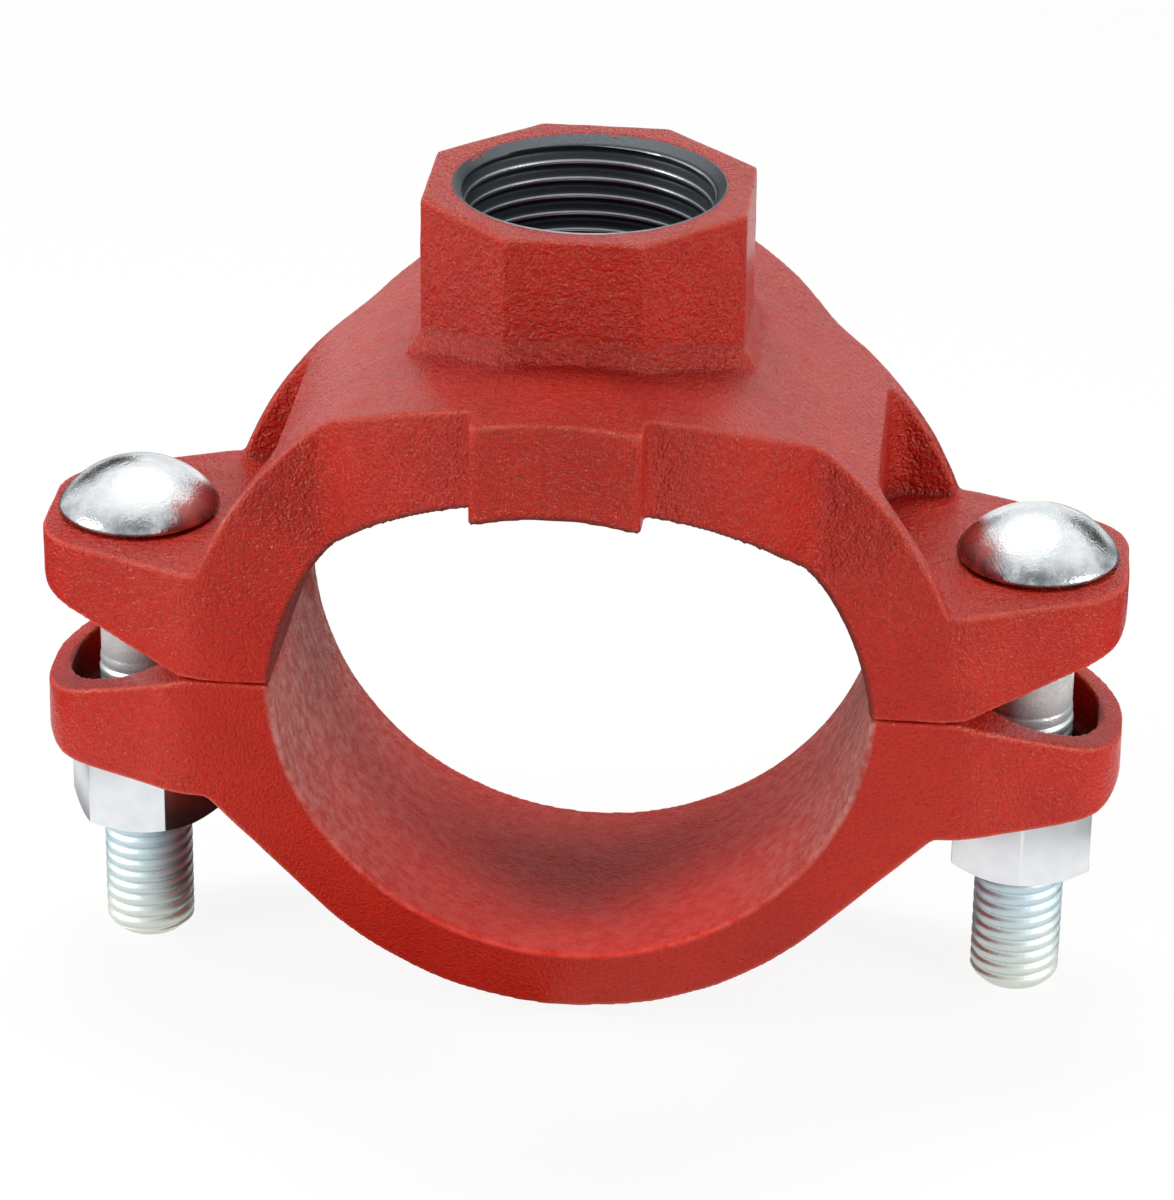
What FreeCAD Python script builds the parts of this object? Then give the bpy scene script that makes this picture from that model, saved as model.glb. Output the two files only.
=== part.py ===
import FreeCAD, Part
import math
import operator
import os
import types
import Sketcher

# Threaded mechanical tee: two painted ductile-iron castings that two bolts draw together round a
# pipe. The upper casting, the outlet housing, is a saddle with an octagonal boss whose 1 inch
# female thread takes the branch. Its collar enters a hole cut in the pipe, and a rubber ring
# round the collar seals that hole. The lower casting is a plain strap.
#
# Millimetres and degrees. The origin is where the run pipe's axis crosses the outlet's axis,
# with the saddle seated on the pipe. +X runs towards the right bolt, +Y along the run pipe and
# +Z up the outlet. The halves are drawn fully together, as they are without a pipe.

SIZES = {
    # Bore and parting plane, shared by the two castings
    "saddle_radius": 38.4,       # bore of both castings, for a 76.1 pipe
    "draw_up": 5.0,              # how far the strap stands above its seat on the pipe
    "split_level": 3.5,          # underside of the outlet housing, above the run axis
    "split_gap": 0.3,            # between the two castings

    # Outlet housing, seen from above: a round skirt, two locators and a pair of wings
    "saddle_wall": 12.6,
    "skirt_wall": 9.0,           # skirt outside the gasket's recess
    "skirt_blend": 4.0,          # hollow corner between the skirt and a wing
    "locator_width": 21.0,       # flat pad at the front and back of the skirt
    "locator_step": 4.0,         # how far a locator stands out of the skirt
    "locator_round": 1.5,
    "wing_half_width": 20.0,

    # Bolt pads at the ends of the wings
    "pad_thickness": 14.7,
    "pad_shoulder": 9.8,         # where a pad starts to taper, inboard of its bolt
    "pad_margin": 1.3,           # end of a pad, outboard of the bolt's head
    "pad_taper": 24.0,
    "pad_shoulder_round": 12.0,
    "pad_corner_round": 9.0,
    "pad_slope_start": 7.8,      # where the underside starts to rise, inboard of the bolt
    "pad_slope": 20.0,
    "pad_toe_round": 2.5,        # lower outer corner
    "rib_thickness": 3.0,        # web left on each side of the pocket above a pad
    "head_room": 9.9,            # inner wall of that pocket, inboard of the bolt's head
    "pocket_round": 3.5,

    # Outlet boss
    "boss_wall": 3.75,           # from the thread to a flat of the octagon
    "boss_height": 15.4,         # above the crown of the saddle
    "boss_root": 2.0,            # chamfer where the boss leaves the saddle
    "thread_radius": 16.6,       # major radius of the 1 inch thread
    "thread_length": 19.0,
    "mouth_chamfer": 0.5,
    "waterway_radius": 14.0,

    # Collar and gasket
    "collar_wall": 4.25,         # makes a 36.5 collar, which enters the 38 hole in the pipe
    "collar_reach": 3.5,
    "gasket_width": 8.65,
    "gasket_depth": 6.0,         # roof of the gasket's recess, behind the bore
    "gasket_proud": 1.4,         # how far the free gasket stands into the bore
    "gasket_clearance": 0.3,

    # Strap
    "strap_inset": 0.3,          # strap's sides, inside the wings' sides
    "strap_wall": 7.9,
    "flank_angle": 45.0,         # flat stretch between the hoop and an ear
    "ear_height": 16.7,          # parting plane down to the nut's seat
    "ear_shoulder": 7.8,
    "ear_margin": 1.8,           # end of an ear, outboard of the nut's corners
    "ear_taper": 26.0,
    "ear_shoulder_round": 12.0,
    "ear_corner_round": 13.0,
    "ear_toe_round": 3.5,        # lower outer corner
    "rim_start": 8.8,            # where an ear's rim starts to fall, inboard of its bolt
    "rim_slope": 21.0,
    "recess_wall": 3.2,
    "recess_start": 8.0,         # inner end of an ear's recess, inboard of its bolt
    "recess_floor": 5.0,
    "recess_root_round": 6.8,    # inner corners of the recess, beside the hoop
    "relief_half_length": 15.5,  # shallow relief at the top of the strap's bore
    "relief_depth": 1.2,
    "relief_height": 9.0,

    # Track bolts: domed head, oval neck, M12
    "bolt_radius": 5.9,
    "shank_radius": 5.6,
    "bolt_length": 61.5,
    "bolt_thread_length": 41.5,
    "bolt_tip": 1.2,
    "head_radius": 10.4,
    "head_rim": 1.0,
    "head_dome": 5.6,
    "neck_width": 12.6,
    "neck_length": 16.6,
    "neck_depth": 5.0,
    "neck_clearance": 0.4,       # round the neck in the outlet housing's oval hole
    "strap_hole_clearance": 0.9,
    "strap_hole_run": 1.5,       # how much longer than wide the strap's hole is

    # Nuts
    "nut_flats": 18.0,
    "nut_height": 12.0,
    "nut_washer": 0.6,           # round washer face that bears on the strap
    "nut_face_radius": 8.5,      # end face left inside the corner chamfers
    "nut_chamfer": 30.0,
    "nut_clearance": 0.05,       # running clearance on the bolt
    "nut_room": 2.8,             # between the nut's end face and the strap's flank
    "left_nut_turn": 53.0,
    "right_nut_turn": 30.0,
}

CLEAR = 5.0  # how far a cutting sketch runs past the metal
FULL_TURN = 360.0
BOSS_SIDES = 8
RIGHT_ANGLE = 90.0
CORNER_SHARE = 0.99  # most of an end face that the rounds at its two corners may take
DOME_BANDS = 4   # straight bands that turn a bolt's dome


# ---------------------------------------------------------------- sizes and their formulas

class Size:
    """A number together with the spreadsheet expression that gives it."""

    def __init__(self, value, text):
        self.value = value
        self.text = text

    def merge(self, symbol, action, other, swapped=False):
        other = as_size(other)
        first, second = (other, self) if swapped else (self, other)
        return Size(action(first.value, second.value), f"({first.text} {symbol} {second.text})")

    def __add__(self, other):
        return self.merge("+", operator.add, other)

    def __radd__(self, other):
        return self.merge("+", operator.add, other, swapped=True)

    def __sub__(self, other):
        return self.merge("-", operator.sub, other)

    def __rsub__(self, other):
        return self.merge("-", operator.sub, other, swapped=True)

    def __mul__(self, other):
        return self.merge("*", operator.mul, other)

    def __rmul__(self, other):
        return self.merge("*", operator.mul, other, swapped=True)

    def __truediv__(self, other):
        return self.merge("/", operator.truediv, other)

    def __neg__(self):
        return Size(-self.value, f"(-1 * {self.text})")


def as_size(value):
    return value if isinstance(value, Size) else Size(float(value), f"{float(value)}")


def root(size):
    return Size(math.sqrt(size.value), f"sqrt({size.text})")


def sine(angle):
    return Size(math.sin(math.radians(angle.value)), f"sin({angle.text})")


def cosine(angle):
    return Size(math.cos(math.radians(angle.value)), f"cos({angle.text})")


def tangent(angle):
    return Size(math.tan(math.radians(angle.value)), f"tan({angle.text})")


def arctangent(ratio):
    return Size(math.degrees(math.atan(ratio.value)), f"atan({ratio.text})")


def smaller(first, second):
    return Size(min(first.value, second.value), f"min({first.text}; {second.text})")


def leg(radius, offset):
    """The other leg of a right triangle: half the chord that a circle leaves at an offset."""
    return root(radius * radius - offset * offset)


doc = FreeCAD.newDocument("MechanicalTee")
sheet = doc.addObject("Spreadsheet::Sheet", "Sizes")
for row, (alias, value) in enumerate(SIZES.items(), start=1):
    sheet.set(f"A{row}", alias)
    sheet.set(f"B{row}", str(value))
    sheet.setAlias(f"B{row}", alias)
doc.recompute()

S = types.SimpleNamespace(**{name: Size(value, f"Sizes.{name}") for name, value in SIZES.items()})


# ---------------------------------------------------------------- bodies and sketches

def new_body(label, x=0, z=0, turn=0):
    """An empty body whose Label names its node, standing at x, z and turned about Z."""
    body = doc.addObject("PartDesign::Body", label.title().replace("_", ""))
    body.Label = label
    body.Placement.Rotation = FreeCAD.Rotation(FreeCAD.Vector(0, 0, 1), 1)
    bind(body, "Placement.Base.x", x)
    bind(body, "Placement.Base.z", z)
    bind(body, "Placement.Rotation.Angle", turn)
    doc.recompute()
    return body


def bind(item, name, size):
    item.setExpression(name, as_size(size).text)


def new_sketch(body, name, role, level=0):
    """A sketch on one of the body's own origin planes, lifted off it by level."""
    plane = next(item for item in body.Origin.OriginFeatures if item.Role == role)
    sketch = body.newObject("Sketcher::SketchObject", name)
    sketch.AttachmentSupport = [(plane, "")]
    sketch.MapMode = "FlatFace"
    bind(sketch, "AttachmentOffset.Base.z", level)
    return sketch


def plan(body, name, level=0):
    return new_sketch(body, name, "XY_Plane", level)


def profile(body, name):
    """A sketch seen from the front: its first axis is X and its second is Z."""
    return new_sketch(body, name, "XZ_Plane")


def hold(sketch, kind, geometry, vertex, size):
    """Ties one coordinate of a vertex to the sketch's origin."""
    size = as_size(size)
    index = sketch.addConstraint(Sketcher.Constraint(kind, -1, 1, geometry, vertex, size.value))
    sketch.setExpression(f"Constraints[{index}]", size.text)


def set_radius(sketch, geometry, size):
    index = sketch.addConstraint(Sketcher.Constraint("Radius", geometry, size.value))
    sketch.setExpression(f"Constraints[{index}]", size.text)


def circle(sketch, radius, x=0, y=0):
    centre = FreeCAD.Vector(as_size(x).value, as_size(y).value, 0)
    geometry = sketch.addGeometry(Part.Circle(centre, FreeCAD.Vector(0, 0, 1), radius.value))
    hold(sketch, "DistanceX", geometry, 3, x)
    hold(sketch, "DistanceY", geometry, 3, y)
    set_radius(sketch, geometry, radius)


def arc_between(start, end, radius, bulge):
    """An arc from start to end, and which of its vertices each is. It turns left along the way
    when bulge is 1 and right when it is -1, and is always less than half a circle."""
    chord = end - start
    half = chord.Length / 2
    side = FreeCAD.Vector(-chord.y, chord.x, 0).normalize()
    centre = (start + end) / 2 + side * (bulge * math.sqrt(radius ** 2 - half ** 2))
    angles = [math.atan2(point.y - centre.y, point.x - centre.x) for point in (start, end)]
    vertices = (1, 2)
    if bulge < 0:
        angles.reverse()
        vertices = (2, 1)
    whole = Part.Circle(centre, FreeCAD.Vector(0, 0, 1), radius)
    return Part.ArcOfCircle(whole, angles[0], angles[1]), vertices


def outline(sketch, corners, arcs=None):
    """A closed chain through corners. arcs maps the number of a corner to (radius, bulge) where
    the edge that leaves it is an arc."""
    arcs = arcs or {}
    corners = [(as_size(x), as_size(y)) for x, y in corners]
    points = [FreeCAD.Vector(x.value, y.value, 0) for x, y in corners]
    edges = []
    for number, start in enumerate(points):
        end = points[(number + 1) % len(points)]
        if number in arcs:
            radius, bulge = arcs[number]
            shape, vertices = arc_between(start, end, radius.value, bulge)
        else:
            shape, vertices = Part.LineSegment(start, end), (1, 2)
        edges.append((sketch.addGeometry(shape), vertices))
    for number, (geometry, vertices) in enumerate(edges):
        previous, previous_vertices = edges[number - 1]
        sketch.addConstraint(Sketcher.Constraint(
            "Coincident", previous, previous_vertices[1], geometry, vertices[0]))
        hold(sketch, "DistanceX", geometry, vertices[0], corners[number][0])
        hold(sketch, "DistanceY", geometry, vertices[0], corners[number][1])
        if number in arcs:
            set_radius(sketch, geometry, arcs[number][0])


def box(sketch, half_x, half_y):
    outline(sketch, [(-half_x, -half_y), (half_x, -half_y), (half_x, half_y), (-half_x, half_y)])


def slot(sketch, radius, half_run, x=0):
    """A slot along X: two half circles joined by straight sides."""
    x, half_run = as_size(x), as_size(half_run)
    up = FreeCAD.Vector(0, 0, 1)
    quarter = math.pi / 2
    ends = []
    for sign in (1, -1):
        centre = x + half_run * sign
        whole = Part.Circle(FreeCAD.Vector(centre.value, 0, 0), up, radius.value)
        geometry = sketch.addGeometry(Part.ArcOfCircle(whole, -quarter * sign, quarter * (2 - sign)))
        hold(sketch, "DistanceX", geometry, 3, centre)
        hold(sketch, "DistanceY", geometry, 3, 0)
        set_radius(sketch, geometry, radius)
        hold(sketch, "DistanceX", geometry, 1, centre)
        hold(sketch, "DistanceX", geometry, 2, centre)
        ends.append((geometry, centre.value))
    (right, right_x), (left, left_x) = ends
    for sign, start, end in ((1, (right, 2), (left, 1)), (-1, (left, 2), (right, 1))):
        run = Part.LineSegment(FreeCAD.Vector(right_x, sign * radius.value, 0),
                               FreeCAD.Vector(left_x, sign * radius.value, 0))
        if sign < 0:
            run.reverse()
        side = sketch.addGeometry(run)
        sketch.addConstraint(Sketcher.Constraint("Coincident", start[0], start[1], side, 1))
        sketch.addConstraint(Sketcher.Constraint("Coincident", end[0], end[1], side, 2))


# ---------------------------------------------------------------- features

def finish_feature(feature):
    doc.recompute()
    if not feature.isValid() or feature.Shape.isNull():
        raise RuntimeError(f"{feature.Name} can't be built")
    return feature


def pad(body, name, sketch, length, reverse=False):
    feature = body.newObject("PartDesign::Pad", name)
    feature.Profile = sketch
    feature.Reversed = reverse
    bind(feature, "Length", length)
    return finish_feature(feature)


def revolve(body, name, sketch):
    feature = body.newObject("PartDesign::Revolution", name)
    feature.Profile = sketch
    feature.ReferenceAxis = (sketch, ["V_Axis"])
    feature.Angle = FULL_TURN
    return finish_feature(feature)


def cut(body, kind, name, sketch, **settings):
    """A Pocket or a Groove, refused when it takes nothing off the body."""
    before = body.Shape.Volume
    feature = body.newObject(f"PartDesign::{kind}", name)
    feature.Profile = sketch
    for key, setting in settings.items():
        setattr(feature, key, setting)
    finish_feature(feature)
    if feature.Shape.Volume > before - 1:
        raise RuntimeError(f"{name} cuts nothing")
    return feature


def cut_through(body, name, sketch):
    return cut(body, "Pocket", name, sketch, Type="ThroughAll", SideType="Symmetric")


def cut_upwards(body, name, sketch):
    return cut(body, "Pocket", name, sketch, Type="ThroughAll", Reversed=True)


def cut_round(body, name, sketch):
    return cut(body, "Groove", name, sketch, ReferenceAxis=(sketch, ["V_Axis"]), Angle=FULL_TURN)


def dress_edges(body, kind, name, chosen, measure, size):
    """A Fillet or a Chamfer on the edges of the body's latest shape that chosen accepts."""
    base = body.Tip
    names = [f"Edge{number}" for number, edge in enumerate(base.Shape.Edges, start=1) if chosen(edge)]
    if not names:
        raise RuntimeError(f"{name} finds no edges")
    feature = body.newObject(f"PartDesign::{kind}", name)
    feature.Base = (base, names)
    bind(feature, measure, size)
    return finish_feature(feature)


def round_edges(body, name, chosen, radius):
    return dress_edges(body, "Fillet", name, chosen, "Radius", radius)


def chamfer_edges(body, name, chosen, size):
    return dress_edges(body, "Chamfer", name, chosen, "Size", size)


def upright_at(x, y):
    """Accepts the vertical edges at x, y and at its mirror images."""
    def chosen(edge):
        foot, head = edge.Vertexes[0].Point, edge.Vertexes[-1].Point
        vertical = abs(foot.x - head.x) < 0.01 and abs(foot.y - head.y) < 0.01
        return vertical and abs(abs(foot.x) - x.value) < 0.05 and abs(abs(foot.y) - y.value) < 0.05
    return chosen


def spots_along(edge):
    first, last = edge.FirstParameter, edge.LastParameter
    return [edge.valueAt(first + share * (last - first)) for share in (0.1, 0.5, 0.9)]


def tapered_plan(sketch, half_width, shoulder, end, taper):
    """A long plate whose two ends narrow from the shoulders outwards."""
    end_half = half_width - (end - shoulder) * tangent(taper)
    outline(sketch, [
        (-end, -end_half), (-shoulder, -half_width), (shoulder, -half_width), (end, -end_half),
        (end, end_half), (shoulder, half_width), (-shoulder, half_width), (-end, end_half)])
    return end_half


def trim_outside_cylinder(body, name, radius, half_span):
    """Cuts away all that lies outside a cylinder about the Y axis."""
    sketch = profile(body, f"{name}Profile")
    box(sketch, half_span, half_span)
    circle(sketch, radius)
    return cut_through(body, name, sketch)


# ---------------------------------------------------------------- shared places

# The strap's hoop leaves its arc where a straight flank starts, and each flank runs up to the
# plane of the nuts' seats. The bolts stand just far enough out for the nuts to clear the flanks.
strap_top = S.split_level - S.split_gap
nut_seat = strap_top - S.ear_height
strap_outer = S.saddle_radius + S.strap_wall
flank_foot_x = strap_outer * sine(S.flank_angle)
flank_foot_z = S.draw_up - strap_outer * cosine(S.flank_angle)
flank_top_x = flank_foot_x + (nut_seat - flank_foot_z) / tangent(S.flank_angle)
bolt_x = flank_top_x + S.nut_room + S.nut_face_radius
nut_corner = S.nut_flats / root(as_size(3))
ear_end = bolt_x + nut_corner + S.ear_margin
ear_half = S.wing_half_width - S.strap_inset
ear_end_half = ear_half - (ear_end - bolt_x + S.ear_shoulder) * tangent(S.ear_taper)
ear_corner_round = smaller(
    S.ear_corner_round, CORNER_SHARE * ear_end_half / tangent((RIGHT_ANGLE - S.ear_taper) / 2))

saddle_outer = S.saddle_radius + S.saddle_wall
pad_top = S.split_level + S.pad_thickness
pad_shoulder = bolt_x - S.pad_shoulder
pad_end = bolt_x + S.head_radius + S.pad_margin
far = ear_end + pad_end  # well outboard of both castings

boss_top = saddle_outer + S.boss_height
collar_radius = S.waterway_radius + S.collar_wall
gasket_inner = collar_radius + S.gasket_clearance
gasket_outer = gasket_inner + S.gasket_width
recess_radius = gasket_outer + S.gasket_clearance
skirt_radius = recess_radius + S.skirt_wall


# ---------------------------------------------------------------- outlet housing

def gasket_recess():
    """The room for the gasket: a round well whose roof follows the saddle."""
    body = new_body("gasket_recess")
    roof = S.saddle_radius + S.gasket_depth
    well = plan(body, "RecessPlan")
    circle(well, recess_radius)
    pad(body, "RecessWell", well, roof)
    trim_outside_cylinder(body, "RecessRoof", roof, roof + CLEAR)
    return body


def outlet_blank(body):
    """Skirt, wings and locators, upright from the parting plane to the saddle's height."""
    height = saddle_outer - S.split_level

    skirt = plan(body, "SkirtPlan", S.split_level)
    circle(skirt, skirt_radius)
    pad(body, "Skirt", skirt, height)

    wings = plan(body, "WingPlan", S.split_level)
    end_half = tapered_plan(wings, S.wing_half_width, pad_shoulder, pad_end, S.pad_taper)
    pad(body, "Wings", wings, height)

    locators = plan(body, "LocatorPlan", S.split_level)
    half_locator = S.locator_width / 2
    locator_reach = skirt_radius + S.locator_step
    box(locators, half_locator, locator_reach)
    pad(body, "Locators", locators, height)

    round_edges(body, "SkirtBlend",
                upright_at(leg(skirt_radius, S.wing_half_width), S.wing_half_width),
                S.skirt_blend)
    round_edges(body, "PadShoulders", upright_at(pad_shoulder, S.wing_half_width),
                S.pad_shoulder_round)
    round_edges(body, "PadCorners", upright_at(pad_end, end_half), S.pad_corner_round)
    round_edges(body, "LocatorCorners", upright_at(half_locator, locator_reach),
                S.locator_round)
    round_edges(body, "LocatorRoots",
                upright_at(half_locator, leg(skirt_radius, half_locator)), S.locator_round)


def saddle_form(body):
    """Turns the upright blank into a saddle: its back, its bore and its two bolt pads."""
    back = profile(body, "SaddleBackProfile")
    meet = leg(saddle_outer, pad_top)
    top = saddle_outer + CLEAR
    outline(back, [(-meet, pad_top), (meet, pad_top), (far, pad_top), (far, top),
                   (-far, top), (-far, pad_top)], arcs={0: (saddle_outer, -1)})
    cut_through(body, "SaddleBack", back)

    bore = profile(body, "SaddleBoreProfile")
    circle(bore, S.saddle_radius)
    cut_through(body, "SaddleBore", bore)

    pockets = plan(body, "PadPocketPlan", pad_top)
    pocket_wall = bolt_x - S.head_radius - S.head_room
    inner_half = S.wing_half_width - S.rib_thickness
    for sign in (1, -1):
        outline(pockets, [(pocket_wall * sign, -inner_half), (far * sign, -inner_half),
                          (far * sign, inner_half), (pocket_wall * sign, inner_half)])
    cut_upwards(body, "PadPockets", pockets)
    round_edges(body, "PocketCorners", upright_at(pocket_wall, inner_half), S.pocket_round)

    underside = profile(body, "PadUndersideProfile")
    start = bolt_x - S.pad_slope_start
    corner = S.split_level + (pad_end - start) * tangent(S.pad_slope)
    run = S.pad_toe_round * tangent((90 - S.pad_slope) / 2)
    for sign in (1, -1):
        outline(underside, [
            (start * sign, S.split_level),
            ((pad_end - run * cosine(S.pad_slope)) * sign, corner - run * sine(S.pad_slope)),
            (pad_end * sign, corner + run), (far * sign, corner + run),
            (far * sign, S.split_level - CLEAR)], arcs={1: (S.pad_toe_round, sign)})
    cut_through(body, "PadUnderside", underside)


def outlet_boss(body):
    """The octagonal boss, the collar below it, and the threaded bore through both."""
    buried = S.saddle_radius + S.saddle_wall / 3
    half = S.thread_radius + S.boss_wall
    half_side = as_size(FULL_TURN / BOSS_SIDES / 2)
    step = half * tangent(half_side)
    octagon = plan(body, "BossPlan", buried)
    outline(octagon, [(half, -step), (half, step), (step, half), (-step, half),
                      (-half, step), (-half, -step), (-step, -half), (step, -half)])
    pad(body, "Boss", octagon, boss_top - buried)

    reach = half / cosine(half_side)

    def at_root(edge):
        return all(abs(math.hypot(spot.x, spot.z) - saddle_outer.value) < 0.01 and spot.z > 0
                   and math.hypot(spot.x, spot.y) < reach.value + 0.01 for spot in spots_along(edge))
    chamfer_edges(body, "BossRoot", at_root, S.boss_root)

    recess = body.newObject("PartDesign::Boolean", "GasketRecessCut")
    recess.Type = "Cut"
    recess.Group = [gasket_recess()]
    finish_feature(recess)

    inside = S.saddle_radius - S.collar_reach
    collar_start = inside - collar_radius
    collar = plan(body, "CollarPlan", collar_start)
    circle(collar, collar_radius)
    pad(body, "Collar", collar, buried - collar_start)
    trim = profile(body, "CollarTrimProfile")
    circle(trim, inside)
    cut_through(body, "CollarTrim", trim)

    mouth = S.thread_radius + S.mouth_chamfer
    thread_end = boss_top - S.thread_length
    waterway_top = thread_end - (S.thread_radius - S.waterway_radius)
    bore = profile(body, "OutletBoreProfile")
    outline(bore, [
        (0, S.split_level), (S.waterway_radius, S.split_level), (S.waterway_radius, waterway_top),
        (S.thread_radius, thread_end), (S.thread_radius, boss_top - S.mouth_chamfer),
        (mouth, boss_top), (mouth, boss_top + CLEAR), (0, boss_top + CLEAR)])
    cut_round(body, "OutletBore", bore)


def outlet_housing():
    body = new_body("outlet_housing")
    outlet_blank(body)
    saddle_form(body)
    outlet_boss(body)
    holes = plan(body, "NeckHolePlan")
    for sign in (1, -1):
        slot(holes, S.neck_width / 2 + S.neck_clearance, (S.neck_length - S.neck_width) / 2,
             bolt_x * sign)
    cut_through(body, "NeckHoles", holes)
    return body


# ---------------------------------------------------------------- gasket

def gasket():
    """A rubber ring round the collar, curved to lie on the pipe."""
    body = new_body("gasket")
    face_radius = S.saddle_radius - S.gasket_proud
    back = S.saddle_radius + S.gasket_depth - S.gasket_clearance
    start = face_radius - gasket_outer
    ring = plan(body, "GasketPlan", start)
    circle(ring, gasket_outer)
    circle(ring, gasket_inner)
    pad(body, "GasketRing", ring, back - start)
    face = profile(body, "GasketFaceProfile")
    circle(face, face_radius)
    cut_through(body, "GasketFace", face)
    trim_outside_cylinder(body, "GasketBack", back, back + CLEAR)
    return body


# ---------------------------------------------------------------- strap

def strap_blank(body):
    bottom = S.draw_up - strap_outer
    shoulder = bolt_x - S.ear_shoulder
    outer = plan(body, "StrapPlan", bottom)
    tapered_plan(outer, ear_half, shoulder, ear_end, S.ear_taper)
    pad(body, "StrapBlank", outer, strap_top - bottom)
    round_edges(body, "EarShoulders", upright_at(shoulder, ear_half), S.ear_shoulder_round)
    round_edges(body, "EarCorners", upright_at(ear_end, ear_end_half), ear_corner_round)

    # The hoop, a flank up to each nut's seat, and a rounded toe at the end of each ear
    below = bottom - CLEAR
    toe_x = ear_end - S.ear_toe_round
    toe_z = nut_seat + S.ear_toe_round
    underside = profile(body, "StrapUndersideProfile")
    outline(underside, [
        (-far, toe_z), (-ear_end, toe_z), (-toe_x, nut_seat), (-flank_top_x, nut_seat),
        (-flank_foot_x, flank_foot_z), (flank_foot_x, flank_foot_z),
        (flank_top_x, nut_seat), (toe_x, nut_seat), (ear_end, toe_z), (far, toe_z),
        (far, below), (-far, below)],
        arcs={1: (S.ear_toe_round, 1), 4: (strap_outer, 1), 7: (S.ear_toe_round, 1)})
    cut_through(body, "StrapUnderside", underside)

    bore = profile(body, "StrapBoreProfile")
    circle(bore, S.saddle_radius, 0, S.draw_up)
    cut_through(body, "StrapBore", bore)


def strap_ears(body):
    """Falling rims, an open recess in each ear and the bolt hole in its floor."""
    rims = profile(body, "EarRimProfile")
    rim_start = bolt_x - S.rim_start
    fall = (far - rim_start) * tangent(S.rim_slope)
    for sign in (1, -1):
        outline(rims, [(rim_start * sign, strap_top), (far * sign, strap_top - fall),
                       (far * sign, strap_top + CLEAR)])
    cut_through(body, "EarRims", rims)

    # The recess keeps one wall thickness inside the ear's outline.
    start = bolt_x - S.recess_start
    end = ear_end - S.recess_wall
    shoulder = bolt_x - S.ear_shoulder
    inset = ear_half - S.recess_wall / cosine(S.ear_taper)
    start_half = inset - (start - shoulder) * tangent(S.ear_taper)
    end_half = inset - (end - shoulder) * tangent(S.ear_taper)
    recesses = plan(body, "EarRecessPlan", nut_seat + S.recess_floor)
    for sign in (1, -1):
        outline(recesses, [(start * sign, -start_half), (end * sign, -end_half),
                           (end * sign, end_half), (start * sign, start_half)])
    cut_upwards(body, "EarRecesses", recesses)
    round_edges(body, "RecessEnds", upright_at(end, end_half), ear_corner_round - S.recess_wall)
    round_edges(body, "RecessRoots", upright_at(start, start_half), S.recess_root_round)

    holes = plan(body, "StrapHolePlan")
    for sign in (1, -1):
        slot(holes, S.bolt_radius + S.strap_hole_clearance, S.strap_hole_run / 2, bolt_x * sign)
    cut_through(body, "StrapHoles", holes)


def bore_relief(body):
    """A shallow wedge off the top of the bore on each side, between two full-height lips."""
    foot_z = strap_top - S.relief_height
    foot_x = leg(S.saddle_radius, S.draw_up - foot_z)
    top_x = S.saddle_radius + S.relief_depth
    relief = profile(body, "BoreReliefProfile")
    for sign in (1, -1):
        outline(relief, [(top_x * sign, strap_top), (foot_x * sign, foot_z),
                         ((foot_x - CLEAR) * sign, foot_z), ((foot_x - CLEAR) * sign, strap_top + CLEAR),
                         (top_x * sign, strap_top + CLEAR)])
    feature = cut(body, "Pocket", "BoreRelief", relief, Type="Length", SideType="Symmetric",
                  Length=1.0)
    bind(feature, "Length", S.relief_half_length * 2)
    finish_feature(feature)


def strap_housing():
    body = new_body("strap_housing")
    strap_blank(body)
    strap_ears(body)
    bore_relief(body)
    return body


# ---------------------------------------------------------------- bolts and nuts

def track_bolt(label, x):
    """A track bolt, drawn with the underside of its head at zero."""
    body = new_body(label, x, pad_top)
    dome_angle = arctangent(S.head_dome / S.head_radius) * 2
    dome_radius = S.head_radius / sine(dome_angle)
    bands = [dome_angle * (1 - step / DOME_BANDS) for step in range(DOME_BANDS)]
    dome = [(dome_radius * sine(angle),
             S.head_rim + dome_radius * (cosine(angle) - cosine(dome_angle))) for angle in bands]
    thread_top = S.bolt_thread_length - S.bolt_length
    runout = S.bolt_radius - S.shank_radius
    side = profile(body, "BoltProfile")
    outline(side, [
        (0, -S.bolt_length), (S.bolt_radius - S.bolt_tip, -S.bolt_length),
        (S.bolt_radius, S.bolt_tip - S.bolt_length), (S.bolt_radius, thread_top),
        (S.shank_radius, thread_top + runout), (S.shank_radius, 0), (S.head_radius, 0),
        *dome, (0, S.head_rim + S.head_dome)])
    revolve(body, "Shank", side)

    neck = plan(body, "NeckPlan")
    slot(neck, S.neck_width / 2, (S.neck_length - S.neck_width) / 2)
    pad(body, "OvalNeck", neck, S.neck_depth, reverse=True)
    return body


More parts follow.
